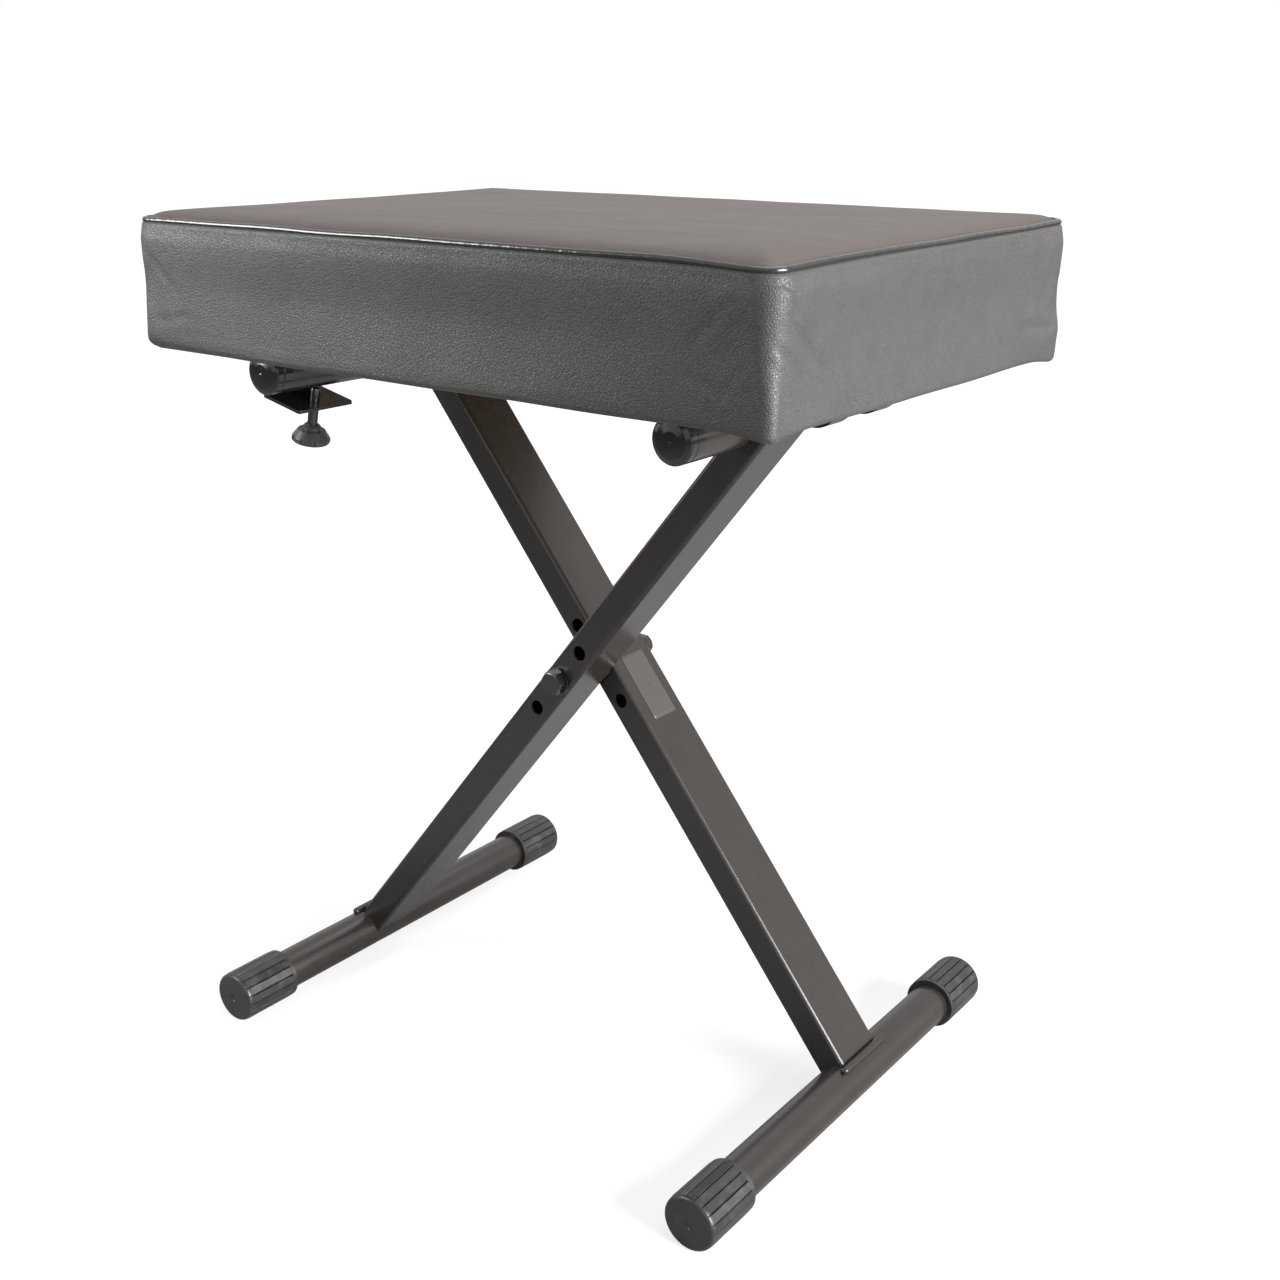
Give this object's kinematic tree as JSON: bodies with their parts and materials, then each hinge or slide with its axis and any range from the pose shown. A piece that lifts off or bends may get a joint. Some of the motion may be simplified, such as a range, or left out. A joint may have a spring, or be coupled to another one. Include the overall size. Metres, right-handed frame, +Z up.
{
  "type": "folding keyboard bench",
  "caption": "Padded rectangular seat on a folding X frame of crossed legs that turn on one bolt, with capped foot tubes and a screw clamp under the seat.",
  "frame": {"origin": "floor level under the middle of the bench", "axes": "+X along the seat towards the seat hinge, +Y across the seat away from the leg that carries the hinge, +Z up"},
  "size_m": [0.4272, 0.308, 0.5092],
  "materials": {
    "frame_paint": "satin powder coat",
    "foot_rubber": "satin",
    "plug_plastic": "gloss",
    "dark_fasteners": "black zinc",
    "nylon": "matt",
    "bracket_paint": "satin powder coat",
    "plated_steel": "zinc plated",
    "knob_plastic": "satin",
    "board_wood": "plain board",
    "seat_foam": "open foam",
    "cover_side": "pebbled, satin",
    "cover_top": "fine grain, satin",
    "piping": "gloss"
  },
  "bodies": {
    "front_frame": {"front_foot_cap_left": "foot_rubber", "front_foot_cap_right": "foot_rubber", "front_foot_tube": "frame_paint", "front_foot_weld": "frame_paint", "front_leg": "frame_paint", "hinge_tube": "frame_paint", "hinge_tube_plug_left": "plug_plastic", "hinge_tube_plug_right": "plug_plastic", "hinge_tube_weld": "frame_paint", "pivot_bolt": "dark_fasteners", "pivot_lock_nut": "dark_fasteners", "pivot_spacer": "nylon", "pivot_washer_front": "dark_fasteners", "pivot_washer_rear": "dark_fasteners"},
    "rear_frame": {"rear_foot_cap_left": "foot_rubber", "rear_foot_cap_right": "foot_rubber", "rear_foot_tube": "frame_paint", "rear_foot_weld": "frame_paint", "rear_leg": "frame_paint", "rest_tube": "frame_paint", "rest_tube_plug_left": "plug_plastic", "rest_tube_plug_right": "plug_plastic", "rest_tube_weld": "frame_paint"},
    "seat": {"clamp_bracket": "bracket_paint", "clamp_bracket_screws": "dark_fasteners", "clamp_weld_nut": "dark_fasteners", "cover_piping": "piping", "cover_side_band": "cover_side", "cover_staples": "plated_steel", "cover_top_panel": "cover_top", "hinge_block_far": "nylon", "hinge_block_near": "nylon", "hinge_rest_block": "nylon", "hinge_strap_far": "bracket_paint", "hinge_strap_near": "bracket_paint", "rest_block_screws": "dark_fasteners", "seat_board": "board_wood", "seat_foam": "seat_foam", "strap_screws": "dark_fasteners", "tee_nuts": "plated_steel"},
    "clamp_screw": {"clamp_screw": "dark_fasteners"},
    "clamp_knob": {"clamp_knob": "knob_plastic"}
  },
  "joints": [
    {"name": "leg_fold", "type": "hinge", "parent": "front_frame", "child": "rear_frame", "pos_m": [0, 0, 0.2414], "axis": [0, 1, 0], "range_deg": [0, 64]},
    {"name": "seat_swing", "type": "hinge", "parent": "front_frame", "child": "seat", "pos_m": [0.12001, 0, 0.40906], "axis": [0, 1, 0], "range_deg": [0, 51.5]},
    {"name": "clamp_travel", "type": "slide", "parent": "seat", "child": "clamp_screw", "axis": [-0.2164, 0, -0.9763], "range_m": [0, 0.0081]},
    {"name": "clamp_turn", "type": "hinge", "parent": "clamp_screw", "child": "clamp_knob", "pos_m": [-0.15035, -0.083, 0.38315], "axis": [-0.2164, 0, -0.9763], "range_deg": [0, 2880]}
  ],
  "couplings": [
    {"joint": "seat_swing", "follows": "leg_fold", "ratio": 0.8},
    {"joint": "clamp_travel", "follows": "clamp_turn", "m_per_rad": 0.00015915}
  ]
}
